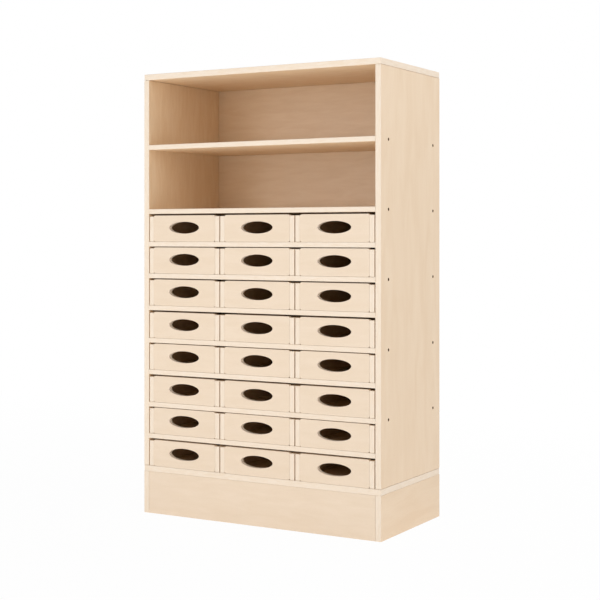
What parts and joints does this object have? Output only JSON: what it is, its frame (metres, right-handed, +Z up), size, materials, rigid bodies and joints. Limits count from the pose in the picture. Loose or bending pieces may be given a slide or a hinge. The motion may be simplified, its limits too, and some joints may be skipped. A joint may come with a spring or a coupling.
{
  "type": "classroom tray storage unit",
  "caption": "Tall maple-faced classroom cabinet on a plinth, with open shelf bays above a bank of shallow pull-out wooden trays with oval hand holes.",
  "frame": {"origin": "on the floor, under the middle of the carcass", "axes": "+Z up, the front with the trays faces -Y, +X to the right of a person facing the front"},
  "size_m": [0.826, 0.405, 1.369],
  "materials": {
    "carcass_maple": "satin maple-faced board with lipped edges",
    "back_maple": "satin maple-faced board",
    "plinth_maple": "satin maple-faced board",
    "tray_maple": "satin maple-faced board with eased edges",
    "dowel_beech": "plain beech",
    "screw_steel": "black oxide"
  },
  "bodies": {
    "carcass": {"left_side_panel": "carcass_maple", "right_side_panel": "carcass_maple", "top_panel": "carcass_maple", "base_panel": "carcass_maple", "back_panel": "back_maple", "bay_shelf": "carcass_maple", "bank_top_shelf": "carcass_maple", "tray_shelf_1": "carcass_maple", "tray_shelf_2": "carcass_maple", "tray_shelf_3": "carcass_maple", "tray_shelf_4": "carcass_maple", "tray_shelf_5": "carcass_maple", "tray_shelf_6": "carcass_maple", "tray_shelf_7": "carcass_maple", "plinth_left": "plinth_maple", "plinth_right": "plinth_maple", "plinth_front": "plinth_maple", "plinth_back": "plinth_maple", "dowel_tray_shelf_1_left_front": "dowel_beech", "dowel_tray_shelf_1_left_rear": "dowel_beech", "dowel_tray_shelf_1_right_front": "dowel_beech", "dowel_tray_shelf_1_right_rear": "dowel_beech", "dowel_tray_shelf_3_left_front": "dowel_beech", "dowel_tray_shelf_3_left_rear": "dowel_beech", "dowel_tray_shelf_3_right_front": "dowel_beech", "dowel_tray_shelf_3_right_rear": "dowel_beech", "dowel_tray_shelf_5_left_front": "dowel_beech", "dowel_tray_shelf_5_left_rear": "dowel_beech", "dowel_tray_shelf_5_right_front": "dowel_beech", "dowel_tray_shelf_5_right_rear": "dowel_beech", "dowel_tray_shelf_7_left_front": "dowel_beech", "dowel_tray_shelf_7_left_rear": "dowel_beech", "dowel_tray_shelf_7_right_front": "dowel_beech", "dowel_tray_shelf_7_right_rear": "dowel_beech"},
    "tray_r1_c1": {"tray_r1_c1": "tray_maple"},
    "tray_r1_c2": {"tray_r1_c2": "tray_maple"},
    "tray_r1_c3": {"tray_r1_c3": "tray_maple"},
    "tray_r2_c1": {"tray_r2_c1": "tray_maple"},
    "tray_r2_c2": {"tray_r2_c2": "tray_maple"},
    "tray_r2_c3": {"tray_r2_c3": "tray_maple"},
    "tray_r3_c1": {"tray_r3_c1": "tray_maple"},
    "tray_r3_c2": {"tray_r3_c2": "tray_maple"},
    "tray_r3_c3": {"tray_r3_c3": "tray_maple"},
    "tray_r4_c1": {"tray_r4_c1": "tray_maple"},
    "tray_r4_c2": {"tray_r4_c2": "tray_maple"},
    "tray_r4_c3": {"tray_r4_c3": "tray_maple"},
    "tray_r5_c1": {"tray_r5_c1": "tray_maple"},
    "tray_r5_c2": {"tray_r5_c2": "tray_maple"},
    "tray_r5_c3": {"tray_r5_c3": "tray_maple"},
    "tray_r6_c1": {"tray_r6_c1": "tray_maple"},
    "tray_r6_c2": {"tray_r6_c2": "tray_maple"},
    "tray_r6_c3": {"tray_r6_c3": "tray_maple"},
    "tray_r7_c1": {"tray_r7_c1": "tray_maple"},
    "tray_r7_c2": {"tray_r7_c2": "tray_maple"},
    "tray_r7_c3": {"tray_r7_c3": "tray_maple"},
    "tray_r8_c1": {"tray_r8_c1": "tray_maple"},
    "tray_r8_c2": {"tray_r8_c2": "tray_maple"},
    "tray_r8_c3": {"tray_r8_c3": "tray_maple"}
  },
  "joints": [
    {"name": "tray_r1_c1_slide", "type": "slide", "parent": "carcass", "child": "tray_r1_c1", "axis": [0, -1, 0], "range_m": [0, 0.27]},
    {"name": "tray_r1_c2_slide", "type": "slide", "parent": "carcass", "child": "tray_r1_c2", "axis": [0, -1, 0], "range_m": [0, 0.27]},
    {"name": "tray_r1_c3_slide", "type": "slide", "parent": "carcass", "child": "tray_r1_c3", "axis": [0, -1, 0], "range_m": [0, 0.27]},
    {"name": "tray_r2_c1_slide", "type": "slide", "parent": "carcass", "child": "tray_r2_c1", "axis": [0, -1, 0], "range_m": [0, 0.27]},
    {"name": "tray_r2_c2_slide", "type": "slide", "parent": "carcass", "child": "tray_r2_c2", "axis": [0, -1, 0], "range_m": [0, 0.27]},
    {"name": "tray_r2_c3_slide", "type": "slide", "parent": "carcass", "child": "tray_r2_c3", "axis": [0, -1, 0], "range_m": [0, 0.27]},
    {"name": "tray_r3_c1_slide", "type": "slide", "parent": "carcass", "child": "tray_r3_c1", "axis": [0, -1, 0], "range_m": [0, 0.27]},
    {"name": "tray_r3_c2_slide", "type": "slide", "parent": "carcass", "child": "tray_r3_c2", "axis": [0, -1, 0], "range_m": [0, 0.27]},
    {"name": "tray_r3_c3_slide", "type": "slide", "parent": "carcass", "child": "tray_r3_c3", "axis": [0, -1, 0], "range_m": [0, 0.27]},
    {"name": "tray_r4_c1_slide", "type": "slide", "parent": "carcass", "child": "tray_r4_c1", "axis": [0, -1, 0], "range_m": [0, 0.27]},
    {"name": "tray_r4_c2_slide", "type": "slide", "parent": "carcass", "child": "tray_r4_c2", "axis": [0, -1, 0], "range_m": [0, 0.27]},
    {"name": "tray_r4_c3_slide", "type": "slide", "parent": "carcass", "child": "tray_r4_c3", "axis": [0, -1, 0], "range_m": [0, 0.27]},
    {"name": "tray_r5_c1_slide", "type": "slide", "parent": "carcass", "child": "tray_r5_c1", "axis": [0, -1, 0], "range_m": [0, 0.27]},
    {"name": "tray_r5_c2_slide", "type": "slide", "parent": "carcass", "child": "tray_r5_c2", "axis": [0, -1, 0], "range_m": [0, 0.27]},
    {"name": "tray_r5_c3_slide", "type": "slide", "parent": "carcass", "child": "tray_r5_c3", "axis": [0, -1, 0], "range_m": [0, 0.27]},
    {"name": "tray_r6_c1_slide", "type": "slide", "parent": "carcass", "child": "tray_r6_c1", "axis": [0, -1, 0], "range_m": [0, 0.27]},
    {"name": "tray_r6_c2_slide", "type": "slide", "parent": "carcass", "child": "tray_r6_c2", "axis": [0, -1, 0], "range_m": [0, 0.27]},
    {"name": "tray_r6_c3_slide", "type": "slide", "parent": "carcass", "child": "tray_r6_c3", "axis": [0, -1, 0], "range_m": [0, 0.27]},
    {"name": "tray_r7_c1_slide", "type": "slide", "parent": "carcass", "child": "tray_r7_c1", "axis": [0, -1, 0], "range_m": [0, 0.27]},
    {"name": "tray_r7_c2_slide", "type": "slide", "parent": "carcass", "child": "tray_r7_c2", "axis": [0, -1, 0], "range_m": [0, 0.27]},
    {"name": "tray_r7_c3_slide", "type": "slide", "parent": "carcass", "child": "tray_r7_c3", "axis": [0, -1, 0], "range_m": [0, 0.27]},
    {"name": "tray_r8_c1_slide", "type": "slide", "parent": "carcass", "child": "tray_r8_c1", "axis": [0, -1, 0], "range_m": [0, 0.27]},
    {"name": "tray_r8_c2_slide", "type": "slide", "parent": "carcass", "child": "tray_r8_c2", "axis": [0, -1, 0], "range_m": [0, 0.27]},
    {"name": "tray_r8_c3_slide", "type": "slide", "parent": "carcass", "child": "tray_r8_c3", "axis": [0, -1, 0], "range_m": [0, 0.27]}
  ]
}
